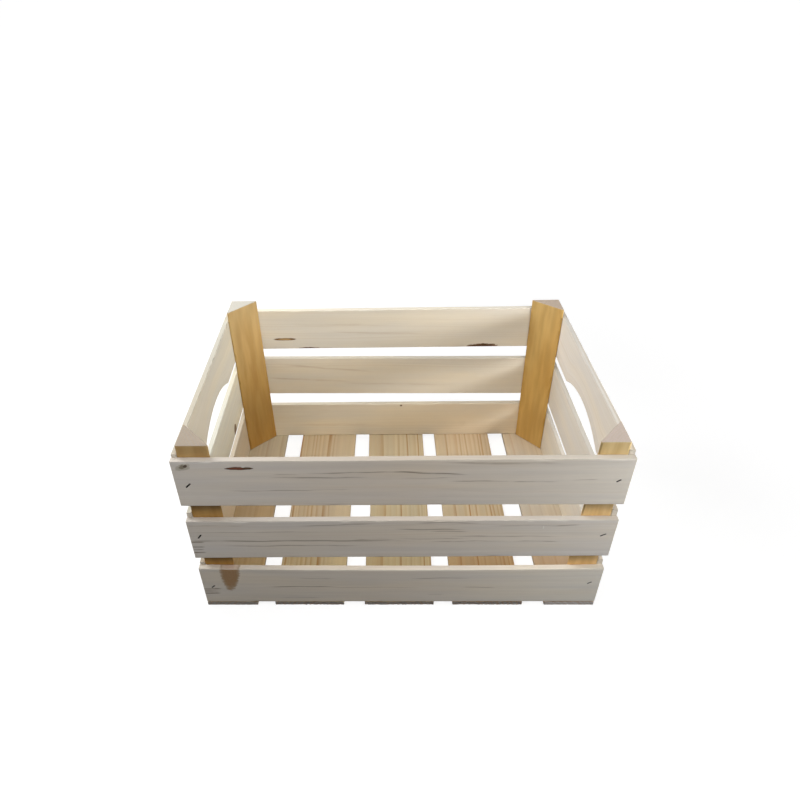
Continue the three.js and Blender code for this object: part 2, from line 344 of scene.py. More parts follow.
def board(
    node, run, up, seed, slot, pith, tints, staples, rough, edge_shade,
    low=LEVEL, high=LEVEL, hollow=0.0, wane=None, scoop=None, shown=(1.0, 1.0),
):
    """A sawn board in place of a node. Its rounded section is carried along its run, while both
    edges wander, the faces lie gently uneven, chips break the arrises, staple crowns are pressed
    in, and the ends are rough. The upper edge may be hollow in the middle, and a wane or a scoop
    may bite into the lower edge."""
    rng = np.random.default_rng(seed)
    axes, first, (length, width, thick) = node_frame(node, run, up)
    marks = staple_marks(staples, shown, axes, first)
    half = STAPLE_CROWN / 2 + GROOVE_MARGIN
    stations = spaced(length, BOARD_STEP, [(mark[0], half) for mark in marks])
    dense = []
    for mark in marks:
        under = between(mark[0] / length, low)
        over = between(mark[0] / length, high)
        dense.append(((mark[1] - under) * width / (width - under - over), half))
    across = spaced(width, BOARD_STEP, dense)
    spare = ARRIS_SPARE * ARRIS
    across = across[(across > spare) & (across < width - spare)]
    across = np.concatenate([[ARRIS], across, [width - ARRIS]])
    ring_v, ring_w, ring_worn, ring_edge = board_ring(across, width, thick)
    count = len(across)
    rises = len(ring_v) // 2 - count

    u, v0 = np.meshgrid(stations, ring_v, indexing="ij")
    w0 = np.repeat(ring_w[None, :], len(stations), axis=0)
    near, ease = end_easing(stations, length, END_ARRIS)
    near = near[:, None]
    v = width / 2 + (v0 - width / 2) * (1.0 - 2.0 * ease[:, None] / width)
    w = thick / 2 + (w0 - thick / 2) * (1.0 - 2.0 * ease[:, None] / thick)
    along = stations / length
    lower = between(along, low) + waves(stations, SLOW_EDGE, rng) + waves(stations, FINE_EDGE, rng)
    upper = between(along, high) + waves(stations, SLOW_EDGE, rng) + waves(stations, FINE_EDGE, rng)
    upper = upper + 4.0 * hollow * along * (1.0 - along)
    if wane is not None:
        place, reach, depth = wane
        lower = lower + depth * smooth(1.0 - np.abs(stations - place) / reach)
    if scoop is not None:
        lower = lower + scoop_edge(stations, *scoop)
    share = v0 / width
    v = v + (1.0 - share) * lower[:, None] - share * upper[:, None]

    side = np.sign(w0 - thick / 2)
    uneven = swell(u, v0, SLOW_FACE, rng) + swell(u, v0, FINE_FACE, rng)
    chips = broken_out(u, v0 + CHIP_SKEW * w0, CHIPS, CHIP_FROM, rng) * ring_worn[None, :]
    ragged = RAGGED * rough * ripple(v0, w0, RAGGED_STEP, thick, rng) * np.exp(-near / RAGGED_REACH)
    w = w - side * (uneven + chips + ragged)
    v = v - np.sign(v0 - width / 2) * chips
    groove = np.where(w0 > thick - HAIR, staple_groove(u, v, marks), 0.0)
    w = w - GROOVE_DEPTH * groove

    index = np.arange(u.size).reshape(u.shape)
    shell = np.stack([u, v, w], axis=-1)
    quads = [grid_quads(np.concatenate([index, index[:, :1]], axis=1))]
    points = [shell.reshape(-1, 3)]
    plain = [np.stack([u, v0, w0], axis=-1).reshape(-1, 3)]
    # the groove's share also darkens the wood there as painted shade
    values = shell_values(u.shape, ring_worn, edge_shade * ring_edge, near, groove)
    total = u.size
    outer_row = np.arange(count)
    over = count + np.arange(rises)
    inner_row = (count + rises + np.arange(count))[::-1]
    under = (2 * count + rises + np.arange(rises))[::-1]
    part = ((across - across[0]) / (across[-1] - across[0]))[None, 1:-1, None]
    for station, inward in ((0, 1), (len(stations) - 1, -1)):
        inside = total + np.arange(rises * (count - 2)).reshape(rises, count - 2)
        table = np.empty((rises + 2, count), int)
        table[0] = index[station, outer_row]
        table[-1] = index[station, inner_row]
        table[1:-1, -1] = index[station, over]
        table[1:-1, 0] = index[station, under]
        table[1:-1, 1:-1] = inside
        ring = shell[station]
        cap = ring[under][:, None, :] * (1.0 - part) + ring[over][:, None, :] * part
        flat = np.zeros_like(cap)
        flat[..., 0] = stations[station]
        flat[..., 1] = across[None, 1:-1]
        flat[..., 2] = ring_w[over][:, None]
        fibre = swell(flat[..., 1], flat[..., 2], FINE_FIBRE, rng)
        fibre = fibre + swell(flat[..., 1], flat[..., 2], BROAD_FIBRE, rng)
        cap[..., 0] += inward * rough * fibre
        quads.append(grid_quads(table[:, ::-inward]))
        points.append(cap.reshape(-1, 3))
        plain.append(flat.reshape(-1, 3))
        close_values(values, inside.size)
        total += inside.size

    plain = np.concatenate(plain)
    pith = np.array([-rng.uniform(0.0, LOG_REACH), *pith])
    world = (first + np.concatenate(points)) @ axes
    no_tris = [np.empty((0, 3), int)]
    return make_piece(node, world, quads, no_tris, plain, pith, tints, values)


# Corner posts


def unit(vectors):
    """Vectors brought to length one."""
    return vectors / np.linalg.norm(vectors, axis=1, keepdims=True)


def rounded_polygon(corners, radius, step):
    """A closed outline through corners: straight sides a step apart, with an arc at each corner
    that touches both sides. Gives the points and how far round a corner each one is."""
    before = unit(np.roll(corners, 1, axis=0) - corners)
    after = unit(np.roll(corners, -1, axis=0) - corners)
    half = np.arccos(np.clip((before * after).sum(1), -1.0, 1.0)) / 2
    cut = (radius / np.tan(half))[:, None]
    enter = corners + before * cut
    leave = corners + after * cut
    centre = corners + unit(before + after) * (radius / np.sin(half))[:, None]
    runs = []
    marks = []
    for number in range(len(corners)):
        share = np.linspace(0.0, 1.0, ARRIS_STEPS + 1)[:, None]
        arc = enter[number] * (1.0 - share) + leave[number] * share - centre[number]
        runs.append(centre[number] + unit(arc) * radius)
        marks.append(np.sin(share[:, 0] * math.pi))
        end = enter[(number + 1) % len(corners)]
        steps = max(int(np.linalg.norm(end - leave[number]) / step), 1)
        share = np.linspace(0.0, 1.0, steps + 1)[1:-1, None]
        runs.append(leave[number] * (1.0 - share) + end * share)
        marks.append(np.zeros(len(share)))
    return np.concatenate(runs), np.concatenate(marks)


def under_slats(node, heights):
    """Share of painted shade on a post at heights: full just under each slat's lower edge and easing
    out downwards."""
    share = np.zeros_like(heights)
    side = "front" if "front" in node else "back"
    for row in ("middle", "top"):
        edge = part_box(f"{side}_{row}_slat")[0][2]
        gathered = smooth((heights - edge + UNDER_SLAT_SHADE_REACH) / UNDER_SLAT_SHADE_EASE)
        share = np.maximum(share, np.where(heights < edge, gathered, 0.0))
    return share


def post(node, seed, foot_legs, top_legs, under_slat_shade_share, tints):
    """A corner post in place of a node: a right-angled triangle with blunt tips and rounded
    arrises, carried upwards with its faces gently uneven and its legs growing or shrinking a little
    with height, with painted shade under the slats on the faces that meet the walls, and closed at
    foot and top by rings that shrink to the middle."""
    rng = np.random.default_rng(seed)
    low, high = (np.array(corner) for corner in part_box(node))
    inward = np.array([1.0 if "left" in node else -1.0, 1.0 if "front" in node else -1.0])
    corner = np.where(inward > 0, low[:2], high[:2])
    height = high[2] - low[2]
    leg = high[0] - low[0]
    outline = [[0, 0], [leg, 0], [leg, POST_BLUNT], [POST_BLUNT, leg], [0, leg]]
    ring, ring_worn = rounded_polygon(np.array(outline), POST_ARRIS, POST_STEP)
    steps = spaced(height, BOARD_STEP, [])
    near, ease = end_easing(steps, height, ARRIS)
    middle = np.array([leg, leg]) / 3
    flat = middle + (ring[None] - middle) * (1.0 - ease / (leg / 4))[:, None, None]
    legs = between((steps / height)[:, None], (np.array(foot_legs), np.array(top_legs)))
    flat = flat * (legs / leg)[:, None, :]
    up, around = np.meshgrid(steps, np.arange(len(ring)) * POST_STEP, indexing="ij")
    uneven = swell(up, around, SLOW_POST, rng) + swell(up, around, FINE_POST, rng)
    chips = broken_out(up, around, POST_CHIPS, POST_CHIP_FROM, rng) * ring_worn[None, :]
    flat = flat + unit(middle - ring)[None] * (uneven + chips)[..., None]
    wall = np.concatenate([flat, up[..., None]], axis=-1)
    plain_wall = np.concatenate([np.broadcast_to(ring, flat.shape), up[..., None]], axis=-1)

    index = np.arange(up.size).reshape(up.shape)
    quads = [grid_quads(np.concatenate([index, index[:, :1]], axis=1))]
    tris = []
    points = [wall.reshape(-1, 3)]
    plain = [plain_wall.reshape(-1, 3)]
    meets_wall = ring.min(axis=1) < POST_BLUNT / 2
    # painted shade just under the slats, on the faces that meet the walls
    under_slat_shade = under_slat_shade_share * np.outer(under_slats(node, low[2] + steps), meets_wall)
    values = shell_values(up.shape, ring_worn, 0.0, near[:, None], under_slat_shade)
    total = up.size
    shares = np.linspace(1.0, 0.0, POST_END_RINGS)[1:-1, None, None]
    for station, sink in ((0, 1), (len(steps) - 1, -1)):
        heart = np.append(middle * legs[station] / leg, steps[station])
        rings = heart + (wall[station][None] - heart) * shares
        rings[..., 2] += sink * swell(rings[..., 0], rings[..., 1], POST_END, rng)
        number = total + np.arange(rings[..., 0].size).reshape(rings.shape[:2])
        total += number.size
        table = np.concatenate([index[station][None], number])
        table = np.concatenate([table, table[:, :1]], axis=1)[:, ::-sink]
        quads.append(grid_quads(table))
        last = table[-1]
        tris.append(np.stack([last[1:], last[:-1], np.full(len(last) - 1, total)], axis=-1))
        total += 1
        points += [rings.reshape(-1, 3), heart[None]]
        plain += [rings.reshape(-1, 3), heart[None]]
        close_values(values, number.size + 1)
    local = np.concatenate(points)
    plain = np.concatenate(plain)[:, [2, 0, 1]]
    world = np.concatenate([corner + inward * local[:, :2], low[2] + local[:, 2:]], axis=1)
    start = -rng.uniform(0.0, LOG_REACH)
    pith = np.array([start, rng.uniform(*POST_PITH), rng.uniform(*POST_PITH)])
    return make_piece(node, world, quads, tris, plain, pith, tints, values)


# Shader helpers


def put(tree, kind, inputs=None, **settings):
    """A node with its settings made and its inputs set or linked."""
    node = tree.nodes.new(kind)
    for key, value in settings.items():
        setattr(node, key, value)
    for key, value in (inputs or {}).items():
        if isinstance(value, bpy.types.NodeSocket):
            tree.links.new(value, node.inputs[key])
        else:
            node.inputs[key].default_value = value
    return node


def calc(tree, operation, *values):
    """The result of a math node."""
    return put(tree, "ShaderNodeMath", dict(enumerate(values)), operation=operation).outputs[0]


def times(tree, a, b):
    """The product of two values."""
    return calc(tree, "MULTIPLY", a, b)


def turn_vector(tree, operation, a, b):
    """The vector that a vector math node makes of two others."""
    return put(tree, "ShaderNodeVectorMath", {0: a, 1: b}, operation=operation).outputs[0]


def distance(tree, vector):
    """The length of a vector."""
    return put(tree, "ShaderNodeVectorMath", {0: vector}, operation="LENGTH").outputs["Value"]


def parts(tree, vector):
    """The three parts of a vector."""
    return put(tree, "ShaderNodeSeparateXYZ", {0: vector}).outputs


def noise(tree, place, scale, detail=2.0, output="Fac"):
    """Noise at a place that is first stretched by a scale along each axis."""
    inputs = {"Vector": turn_vector(tree, "MULTIPLY", place, scale), "Scale": 1.0, "Detail": detail}
    return put(tree, "ShaderNodeTexNoise", inputs).outputs[output]


def ramp(tree, value, low, high, out_low=0.0, out_high=1.0):
    """A value eased from one range to another."""
    inputs = {"Value": value, "From Min": low, "From Max": high, "To Min": out_low, "To Max": out_high}
    return put(tree, "ShaderNodeMapRange", inputs, interpolation_type="SMOOTHSTEP").outputs[0]


def solid(colour):
    """A colour with full cover."""
    return (*colour, 1.0)


def blend(tree, share, a, b, kind="MIX"):
    """Two colours mixed by a share."""
    inputs = {0: share, 6: a, 7: b}
    return put(tree, "ShaderNodeMix", inputs, data_type="RGBA", blend_type=kind).outputs[2]


def tinted(tree, colour, tint):
    """A colour multiplied by a tint."""
    return blend(tree, 1.0, colour, tint, "MULTIPLY")


def cover(tree, colour, value, force, over):
    """A colour covered by another one, by a value times a force."""
    return blend(tree, times(tree, value, force), colour, over)


def attribute(tree, name, output="Fac"):
    """A value or vector that the mesh carries on its points."""
    return put(tree, "ShaderNodeAttribute", attribute_name=name).outputs[output]


def new_material(name):
    """A material with nodes, and its node tree."""
    material = bpy.data.materials.new(name)
    material.use_nodes = True
    return material, material.node_tree


def new_group(name, inputs, outputs):
    """An empty shader node group with named sockets. Gives the group, its input sockets and its
    output node."""
    group = bpy.data.node_groups.new(name, "ShaderNodeTree")
    for key, kind in inputs.items():
        group.interface.new_socket(name=key, in_out="INPUT", socket_type="NodeSocket" + kind)
    for key in outputs:
        group.interface.new_socket(name=key, in_out="OUTPUT", socket_type="NodeSocketFloat")
    given = group.nodes.new("NodeGroupInput").outputs
    return group, given, group.nodes.new("NodeGroupOutput").inputs


def use_group(tree, group, inputs):
    """A node that stands for a group, with its inputs set or linked. Gives the node's outputs."""
    return put(tree, "ShaderNodeGroup", inputs, node_tree=group).outputs


# Grain: scales of noise along and across the log, and ranges that a value is eased from and to
SLOW_LOG = (3.0, 14.0, 14.0)
ACROSS_LOG = (0.0, 1.0, 1.0)
RING_WANDER = 0.012
RING_TAPER = 0.006
RING_DRIFT = 2.4
RING_DRIFT_SCALE = 0.31
LATE_GROWS = (0.30, 0.90)
LATE_STOPS = (0.92, 1.0, 1.0, 0.0)
FIBRES = {
    "Fine": ((28.0, 1300.0, 1300.0), 2.0),
    "Broad": ((4.0, 120.0, 120.0), 3.0),
    "Dash": ((20.0, 380.0, 380.0), 1.0),
    "Blotch": ((4.0, 22.0, 22.0), 2.0),
    "Mottle": ((11.0, 85.0, 85.0), 2.0),
}
KNOT_OUTLINE = (160.0, 260.0, 260.0)
KNOT_NARROWEST = 0.12
KNOT_RINGS = 26.0
KNOT_ENDS = (0.78, 1.02, 1.0, 0.0)
RIM_GROWS = (0.62, 0.86)
RIM_ENDS = (0.90, 1.12, 1.0, 0.0)
LINE_WAVER = 0.005
LINE_WAVER_SCALE = (16.0, 9.0, 0.0)
LINE_HEIGHT = (0.0, 1.3, 1.0, 0.0)
LINE_ENDS = (0.45, 1.0, 1.0, 0.0)
LINE_BREAKS = (0.32, 0.6, 0.35, 1.0)
LINE_BREAK_SCALE = (30.0, 260.0, 260.0)


def growth_rings():
    """Rings of the log: distance from the pith, wandered by slow noise and less a taper along the
    log, counted in ring widths. Late wood darkens through each ring and stops short at its end;
    each ring has its own chance."""
    inputs = {"Place": "Vector", "Ring Width": "Float", "Wander": "Float", "Taper": "Float"}
    group, given, made = new_group("growth_rings", inputs, ("Late Wood", "Chance"))
    slow = noise(group, given["Place"], SLOW_LOG, output="Color")
    offset = turn_vector(group, "SUBTRACT", slow, (0.5, 0.5, 0.5))
    scaled = {0: offset, "Scale": given["Wander"]}
    offset = put(group, "ShaderNodeVectorMath", scaled, operation="SCALE").outputs[0]
    moved = turn_vector(group, "ADD", given["Place"], offset)
    radius = distance(group, turn_vector(group, "MULTIPLY", moved, ACROSS_LOG))
    along = parts(group, given["Place"])[0]
    radius = calc(group, "SUBTRACT", radius, times(group, along, given["Taper"]))
    count = calc(group, "DIVIDE", radius, given["Ring Width"])
    drift = {"W": count, "Scale": RING_DRIFT_SCALE, "Detail": 1.0}
    drift = put(group, "ShaderNodeTexNoise", drift, noise_dimensions="1D").outputs["Fac"]
    count = calc(group, "MULTIPLY_ADD", drift, RING_DRIFT, count)
    part = calc(group, "FRACT", count)
    late = times(group, ramp(group, part, *LATE_GROWS), ramp(group, part, *LATE_STOPS))
    number = calc(group, "FLOOR", count)
    chance = put(group, "ShaderNodeTexWhiteNoise", {"W": number}, noise_dimensions="1D")
    group.links.new(late, made["Late Wood"])
    group.links.new(chance.outputs["Value"], made["Chance"])
    return group


def wood_fibre():
    """Fibres drawn out along the log: fine hairlines, broad streaks, short dashes, slow blotches
    and a mottle, each a noise stretched along the grain."""
    group, given, made = new_group("wood_fibre", {"Place": "Vector"}, FIBRES)
    for key, (scale, detail) in FIBRES.items():
        group.links.new(noise(group, given["Place"], scale, detail), made[key])
    return group


def knot_spot():
    """A knot or pocket: how far inside an egg round its middle a place is, the egg widening and
    leaning towards the upper edge and its outline roughened by noise. Spot is full inside, Rim is
    the band at the outline, Rings are rings within."""
    inputs = {"Place": "Vector", "Middle": "Vector", "Half": "Vector"}
    inputs.update({"Widening": "Float", "Lean": "Float", "Ragged": "Float"})
    group, given, made = new_group("knot_spot", inputs, ("Spot", "Rim", "Rings"))
    away = turn_vector(group, "SUBTRACT", given["Place"], given["Middle"])
    along, across, out = parts(group, turn_vector(group, "DIVIDE", away, given["Half"]))
    wide = calc(group, "MULTIPLY_ADD", across, given["Widening"], 1.0)
    wide = calc(group, "MAXIMUM", wide, KNOT_NARROWEST)
    upright = calc(group, "SUBTRACT", along, times(group, across, given["Lean"]))
    egg = {0: calc(group, "DIVIDE", upright, wide), 1: across, 2: out}
    far = distance(group, put(group, "ShaderNodeCombineXYZ", egg).outputs[0])
    rough = noise(group, given["Place"], KNOT_OUTLINE, 3.0)
    far = calc(group, "MULTIPLY_ADD", calc(group, "SUBTRACT", rough, 0.5), given["Ragged"], far)
    rim = times(group, ramp(group, far, *RIM_GROWS), ramp(group, far, *RIM_ENDS))
    wave = calc(group, "SINE", times(group, far, KNOT_RINGS))
    group.links.new(ramp(group, far, *KNOT_ENDS), made["Spot"])
    group.links.new(rim, made["Rim"])
    group.links.new(calc(group, "MULTIPLY_ADD", wave, 0.5, 0.5), made["Rings"])
    return group


def grain_line():
    """One dark line of grain: full where a place lies on a sloping line that wavers with slow
    noise, easing out over its half height, fading towards its ends and broken up by noise drawn
    out along the grain."""
    inputs = {"Place": "Vector", "Middle": "Vector"}
    inputs.update({"Half Length": "Float", "Half Height": "Float", "Slope": "Float"})
    group, given, made = new_group("grain_line", inputs, ("Line",))
    away = turn_vector(group, "SUBTRACT", given["Place"], given["Middle"])
    along, across, _ = parts(group, away)
    waver = noise(group, given["Place"], LINE_WAVER_SCALE, 1.0)
    aside = calc(group, "SUBTRACT", across, times(group, along, given["Slope"]))
    aside = calc(group, "MULTIPLY_ADD", calc(group, "SUBTRACT", waver, 0.5), LINE_WAVER, aside)
    aside = calc(group, "DIVIDE", calc(group, "ABSOLUTE", aside), given["Half Height"])
    along = calc(group, "DIVIDE", calc(group, "ABSOLUTE", along), given["Half Length"])
    breaks = noise(group, given["Place"], LINE_BREAK_SCALE, 2.0)
    line = times(group, ramp(group, aside, *LINE_HEIGHT), ramp(group, along, *LINE_ENDS))
    line = times(group, line, ramp(group, breaks, *LINE_BREAKS))
    group.links.new(line, made["Line"])
    return group


RINGS = growth_rings()
FIBRE = wood_fibre()
KNOT = knot_spot()
LINE = grain_line()

# Finish of the wood: ranges that noise is eased over, and shares and tints of each effect
NOISE_MIDDLE = (0.3, 0.7)
WEAKEST_RING = 0.12
BROKEN_GRAIN = (0.30, 0.62, 0.2, 1.0)
MID_BOARD = 0.0045
FINE_SHARE = 0.3
STREAK_LIGHT = 0.5
FLECKS = (0.62, 0.80)
FLECK_SHARE = 1.4
WARM = (1.03, 1.0, 0.95, 1.0)
COOL = (0.965, 0.965, 0.98, 1.0)
MOTTLE_DEEP = (0.7, 1.0, 1.5)
MOTTLE_LIGHT = (0.7, 1.0, 1.3)
RINGS_IN_KNOT = 0.35
RIM_SHARE = 0.8
SAWN_END_SCALE = (300.0, 420.0, 420.0)
SAWN_END_DEEP = 1.2
SAWN_END_LIGHT = 0.8
# Worn arrises turn paler: partly wear, partly a painted highlight along them
WEAR_AND_HIGHLIGHT_SHARE = 0.4
# Ripped edges darken: partly their own tone, partly painted shade that holds back the light on lit
# upper edges
RIPPED_AND_SHADED = (0.69, 0.68, 0.66, 1.0)
# Painted shade: how strongly and how dark the staple grooves and the posts under the slats are
# darkened
PAINTED_SHADE_SHARE = 0.95
PAINTED_SHADE_DARK = (0.02, 0.016, 0.012, 1.0)
WOOD_ROUGHNESS = (0.66, 0.86)
WOOD_GLOSS = 0.25
BUMP_SHARE = 0.5
BUMP = {"Strength": 0.3, "Distance": 0.0004}

# Finish of the staple wire
WIRE_SCALE = (900.0, 900.0, 900.0)
WIRE_FLECKS = (0.35, 0.7)
WIRE_DARK = (0.010, 0.009, 0.008, 1.0)
WIRE_PALE = (0.030, 0.024, 0.019, 1.0)
WIRE_ROUGHNESS = (0.55, 0.75)
WIRE_METAL = 0.2
WIRE_GLOSS = 0.15


def sawn_wood(
    name, pale, dark, end, ring_width, late, streak, end_rings=0.35, end_rough=0.1, mottle=0.0,
    knots=(), lines=(), line_tone=None, outer_grain=0.0,
):
    """Sawn softwood: a pale early wood with darker late wood in rings that may show more on the
    outer face, fibres drawn along the board, a tint for each board that holds its own tone with
    painted light and shade, knots and strong lines where they are named, worn arrises paler with a
    painted highlight, rough ends, ripped edges darker with painted shade, and painted shade where a
    staple is pressed in and on posts under the slats."""
    material, tree = new_material(name)
    shader = tree.nodes["Principled BSDF"]
    log = attribute(tree, "log_place", "Vector")
    place = attribute(tree, "board_place", "Vector")
    sizes = {"Ring Width": ring_width, "Wander": RING_WANDER, "Taper": RING_TAPER}
    rings = use_group(tree, RINGS, {"Place": log, **sizes})
    fibre = use_group(tree, FIBRE, {"Place": log})
    fine, broad, dash, blotch, mottles = (fibre[key] for key in FIBRES)

    strength = calc(tree, "POWER", rings["Chance"], 2.0)
    strength = calc(tree, "MULTIPLY_ADD", strength, 1.0 - WEAKEST_RING, WEAKEST_RING)
    grain = times(tree, rings["Late Wood"], strength)
    grain = times(tree, grain, ramp(tree, broad, *BROKEN_GRAIN))
    outside = calc(tree, "GREATER_THAN", parts(tree, place)[2], MID_BOARD)
    shown = calc(tree, "MULTIPLY_ADD", outside, outer_grain, late)
    colour = cover(tree, solid(pale), grain, shown, solid(dark))
    for along, across, half_length, half_height, slope, force in lines:
        sizes = {"Half Length": MM * half_length, "Half Height": MM * half_height, "Slope": slope}
        middle = (MM * along, MM * across, 0.0)
        line = use_group(tree, LINE, {"Place": place, "Middle": middle, **sizes})["Line"]
        colour = cover(tree, colour, line, force, solid(line_tone or dark))

    streaks = times(tree, broad, 1.0 - FINE_SHARE)
    streaks = calc(tree, "MULTIPLY_ADD", fine, FINE_SHARE, streaks)
    level = ramp(tree, streaks, *NOISE_MIDDLE, 1.0 - streak, 1.0 + STREAK_LIGHT * streak)
    colour = tinted(tree, colour, level)
    flecks = ramp(tree, dash, *FLECKS)
    colour = cover(tree, colour, flecks, FLECK_SHARE * streak, solid(dark))
    warmth = blend(tree, ramp(tree, blotch, *NOISE_MIDDLE), WARM, COOL)
    colour = tinted(tree, colour, warmth)
    deep = [1.0 - share * mottle for share in MOTTLE_DEEP]
    light = [1.0 + share * mottle for share in MOTTLE_LIGHT]
    mottled = blend(tree, ramp(tree, mottles, *NOISE_MIDDLE), solid(deep), solid(light))
    colour = tinted(tree, colour, mottled)
    # tint: each piece's own tone with painted light and shade, such as darker post feet and floor
    # boards darker by the front wall
    colour = tinted(tree, colour, attribute(tree, "tint", "Color"))

    for middle, half, (widening, lean), ragged, (core, rim) in knots:
        sizes = {"Middle": [MM * size for size in middle], "Half": [MM * size for size in half]}
        egg = {"Widening": widening, "Lean": lean, "Ragged": ragged}
        spot = use_group(tree, KNOT, {"Place": place, **sizes, **egg})
        inner = cover(tree, solid(core), spot["Rings"], RINGS_IN_KNOT, solid(rim))
        colour = blend(tree, spot["Spot"], colour, inner)
        colour = cover(tree, colour, spot["Rim"], RIM_SHARE, solid(rim))

    sawn = noise(tree, place, SAWN_END_SCALE, 3.0)
    rough_tones = (1.0 - SAWN_END_DEEP * end_rough, 1.0 + SAWN_END_LIGHT * end_rough)
    speckle = ramp(tree, sawn, *NOISE_MIDDLE, *rough_tones)
    ends = tinted(tree, solid(end), speckle)
    ends = cover(tree, ends, rings["Late Wood"], end_rings, solid(dark))
    colour = blend(tree, attribute(tree, "end_grain"), colour, ends)
    # worn arrises paler: wear and a painted highlight
    colour = cover(tree, colour, attribute(tree, "wear_and_highlight"), WEAR_AND_HIGHLIGHT_SHARE, solid(pale))
    # ripped edges darker: their own tone and painted shade
    ripped_and_shaded = tinted(tree, colour, RIPPED_AND_SHADED)
    colour = blend(tree, attribute(tree, "edge"), colour, ripped_and_shaded)
    # painted shade in the staple grooves and on the posts under the slats
    colour = cover(tree, colour, attribute(tree, "painted_shade"), PAINTED_SHADE_SHARE, PAINTED_SHADE_DARK)

    tree.links.new(colour, shader.inputs["Base Color"])
    roughness = ramp(tree, streaks, *NOISE_MIDDLE, *WOOD_ROUGHNESS)
    tree.links.new(roughness, shader.inputs["Roughness"])
    shader.inputs["Specular IOR Level"].default_value = WOOD_GLOSS
    height = times(tree, grain, BUMP_SHARE)
    height = calc(tree, "MULTIPLY_ADD", fine, BUMP_SHARE, height)
    bump = put(tree, "ShaderNodeBump", {"Height": height, **BUMP})
    tree.links.new(bump.outputs[0], shader.inputs["Normal"])
    return material


def staple_wire():
    """Dull dark wire: a dim metal whose colour and roughness are flecked by noise."""
    material, tree = new_material("staple_wire")
    shader = tree.nodes["Principled BSDF"]
    place = put(tree, "ShaderNodeTexCoord").outputs["Object"]
    flecks = noise(tree, place, WIRE_SCALE, 3.0)
    colour = blend(tree, ramp(tree, flecks, *WIRE_FLECKS), WIRE_DARK, WIRE_PALE)
    tree.links.new(colour, shader.inputs["Base Color"])
    roughness = ramp(tree, flecks, *NOISE_MIDDLE, *WIRE_ROUGHNESS)
    tree.links.new(roughness, shader.inputs["Roughness"])
    shader.inputs["Metallic"].default_value = WIRE_METAL
    shader.inputs["Specular IOR Level"].default_value = WIRE_GLOSS
    return material


# Woods, as colours in linear light
SPRUCE = (0.87, 0.80, 0.69)
SPRUCE_LATE = (0.58, 0.45, 0.31)
LINE_TONE = (0.34, 0.265, 0.19)
SPRUCE_END = (0.80, 0.72, 0.60)
PALE_END = (0.86, 0.79, 0.68)
GOLDEN_LATE = (0.50, 0.29, 0.08)
FLOOR = (0.73, 0.60, 0.41)
PINKISH_FLOOR = (0.76, 0.64, 0.48)
FLOOR_LATE = (0.46, 0.225, 0.075)
FLOOR_END = (0.36, 0.335, 0.31)
LEFT_FLOOR_END = (0.40, 0.37, 0.34)
RIGHT_FLOOR_END = (0.62, 0.59, 0.57)
BARK = (0.10, 0.05, 0.025)

# Core and rim of knots and the like
PALE_HALO = ((0.66, 0.60, 0.50), (0.72, 0.66, 0.56))
GREY_KNOT = ((0.30, 0.26, 0.19), (0.46, 0.40, 0.31))
DARK_KNOT = ((0.13, 0.10, 0.07), (0.24, 0.19, 0.14))
RESIN = ((0.23, 0.075, 0.04), BARK)
OLD_RESIN = ((0.12, 0.075, 0.045), BARK)
FLAKE = ((0.98, 0.94, 0.86), (0.90, 0.84, 0.75))
PALE_NICK = ((0.96, 0.92, 0.84), (0.90, 0.85, 0.76))
BROWN_KNOT = ((0.42, 0.25, 0.125), (0.45, 0.31, 0.19))
PINK_BAND = ((0.66, 0.50, 0.40), (0.70, 0.57, 0.46))
SPLIT = ((0.20, 0.11, 0.05), (0.24, 0.14, 0.06))
SPLIT_HEART = ((0.52, 0.34, 0.15), (0.40, 0.25, 0.11))
BARK_EDGE = (BARK, (0.24, 0.13, 0.06))
PIN_KNOT = ((0.07, 0.04, 0.025), (0.33, 0.19, 0.10))
EDGE_KNOT = ((0.25, 0.18, 0.12), (0.40, 0.31, 0.22))
